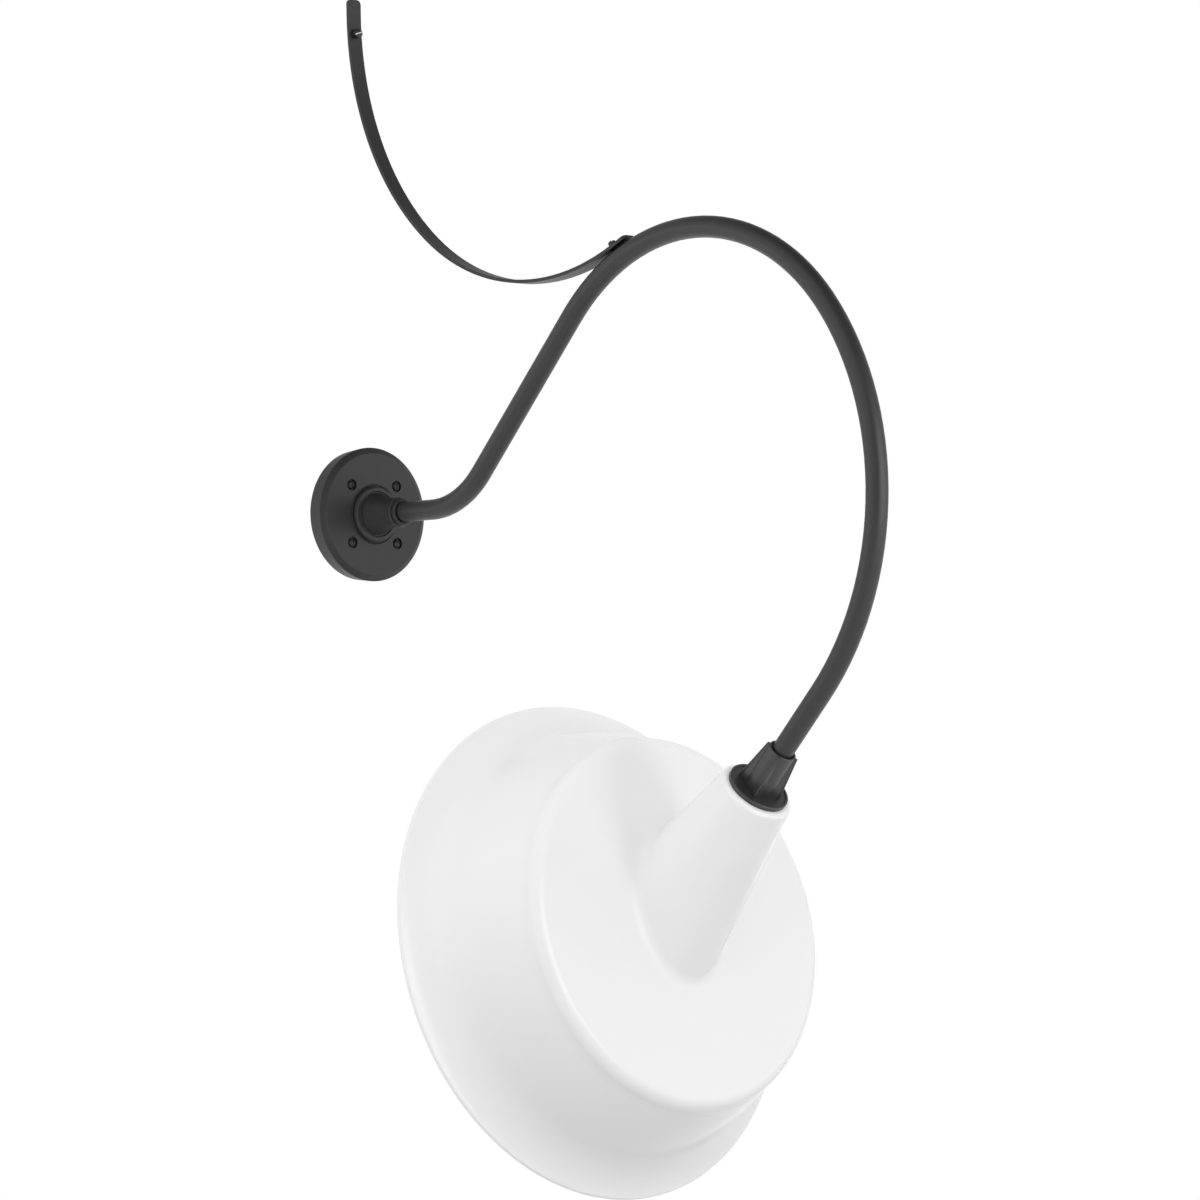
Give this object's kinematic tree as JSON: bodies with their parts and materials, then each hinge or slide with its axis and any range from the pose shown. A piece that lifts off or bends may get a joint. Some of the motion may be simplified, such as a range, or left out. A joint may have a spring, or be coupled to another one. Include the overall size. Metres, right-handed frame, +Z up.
{
  "type": "barn light",
  "caption": "Gooseneck barn light: wall flange, bent pipe arm, flat brace strap, ribbed swivel fitter and a wide spun shade with an angled neck and a screw-in lamp.",
  "frame": {"origin": "centre of the flange's seat on the wall plane, where the arm's straight root would meet the wall", "axes": "+X along the wall, to the viewer's right when facing the wall; +Y into the wall, so the light reaches to -Y; +Z up the wall"},
  "size_m": [0.497, 0.7938, 1.2423],
  "materials": {
    "black_coat": "satin",
    "white_gloss": "gloss",
    "black_screw": "satin",
    "zinc": "satin",
    "green_screw": "satin",
    "brass": "satin",
    "porcelain": "gloss",
    "rubber": "matte",
    "black_lead": "matte",
    "white_lead": "matte",
    "green_lead": "matte",
    "sleeve": "matte",
    "cap_metal": "satin",
    "solder": "satin",
    "black_glass": "gloss",
    "frosted_glass": "frosted"
  },
  "bodies": {
    "wall_side": {"wall_gasket": "rubber", "wall_flange": "black_coat", "flange_screws": "black_screw", "ground_screw": "green_screw", "gooseneck_arm": "black_coat", "brace_strap": "black_coat", "strap_wall_screw": "black_screw", "strap_arm_screw": "black_screw", "lead_sleeve": "sleeve", "lead_bushings": "rubber", "line_tail": "black_lead", "neutral_tail": "white_lead", "ground_tail": "green_lead"},
    "shade_head": {"fitter": "black_coat", "fitter_set_screw": "black_screw", "neck_gasket": "rubber", "shade": "white_gloss", "shade_ring_nut": "zinc", "holder_nipple": "brass", "nipple_nut": "brass", "lampholder": "porcelain", "screw_shell": "brass", "centre_contact": "brass", "holder_line_lead": "black_lead", "holder_neutral_lead": "white_lead"},
    "lamp_tip": {"lamp_contact": "solder", "lamp_insulator": "black_glass"},
    "lamp": {"lamp_cap": "cap_metal", "lamp_glass": "frosted_glass"}
  },
  "joints": [
    {"name": "shade_swivel", "type": "hinge", "parent": "wall_side", "child": "shade_head", "pos_m": [0, -0.62283, -0.25252], "axis": [0, -0.6871, 0.7266], "range_deg": [-175, 175]},
    {"name": "lamp_out", "type": "slide", "parent": "shade_head", "child": "lamp_tip", "axis": [0, 0.6871, -0.7266], "range_m": [0, 0.01815]},
    {"name": "lamp_turn", "type": "hinge", "parent": "lamp_tip", "child": "lamp", "pos_m": [0, -0.62283, -0.25252], "axis": [0, 0.6871, -0.7266], "range_deg": [0, 1800]}
  ],
  "couplings": [
    {"joint": "lamp_out", "follows": "lamp_turn", "m_per_rad": 0.00057757}
  ]
}
